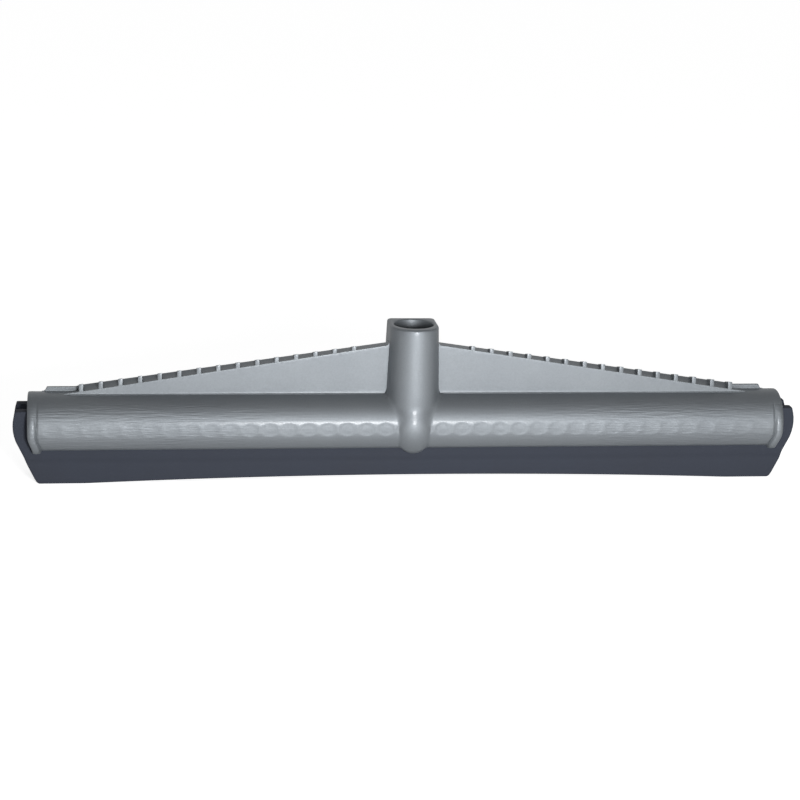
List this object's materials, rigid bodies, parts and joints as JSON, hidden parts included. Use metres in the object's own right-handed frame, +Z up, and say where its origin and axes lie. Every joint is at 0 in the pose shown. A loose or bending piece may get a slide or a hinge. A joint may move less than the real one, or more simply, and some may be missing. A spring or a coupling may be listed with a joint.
{
  "type": "floor squeegee",
  "caption": "Floor squeegee head: a moulded frame with a handle socket, a ribbed web and a slotted round channel holding moss rubber blade strips that slide out lengthwise.",
  "frame": {"origin": "on the floor under the middle of the head, where the plane of the handle socket's axis meets it", "axes": "+X along the blades to the right as seen from the front, the front faces -Y, +Z up along the handle socket"},
  "size_m": [0.467, 0.0439, 0.0924],
  "materials": {
    "frame_plastic": "moulded grey polypropylene, satin gloss",
    "moss_rubber": "skinned black cellular rubber, matt",
    "bar_plastic": "extruded plastic, matt"
  },
  "bodies": {
    "frame": {"socket_frame": "frame_plastic"},
    "front_strip": {"front_blade": "moss_rubber"},
    "rear_strip": {"rear_blade": "moss_rubber"},
    "spreader": {"spreader_bar": "bar_plastic"}
  },
  "joints": [
    {"name": "front_strip_slide", "type": "slide", "parent": "frame", "child": "front_strip", "axis": [1, 0, 0], "range_m": [0, 0.42]},
    {"name": "rear_strip_slide", "type": "slide", "parent": "frame", "child": "rear_strip", "axis": [1, 0, 0], "range_m": [0, 0.42]},
    {"name": "spreader_slide", "type": "slide", "parent": "frame", "child": "spreader", "axis": [1, 0, 0], "range_m": [0, 0.42]}
  ]
}
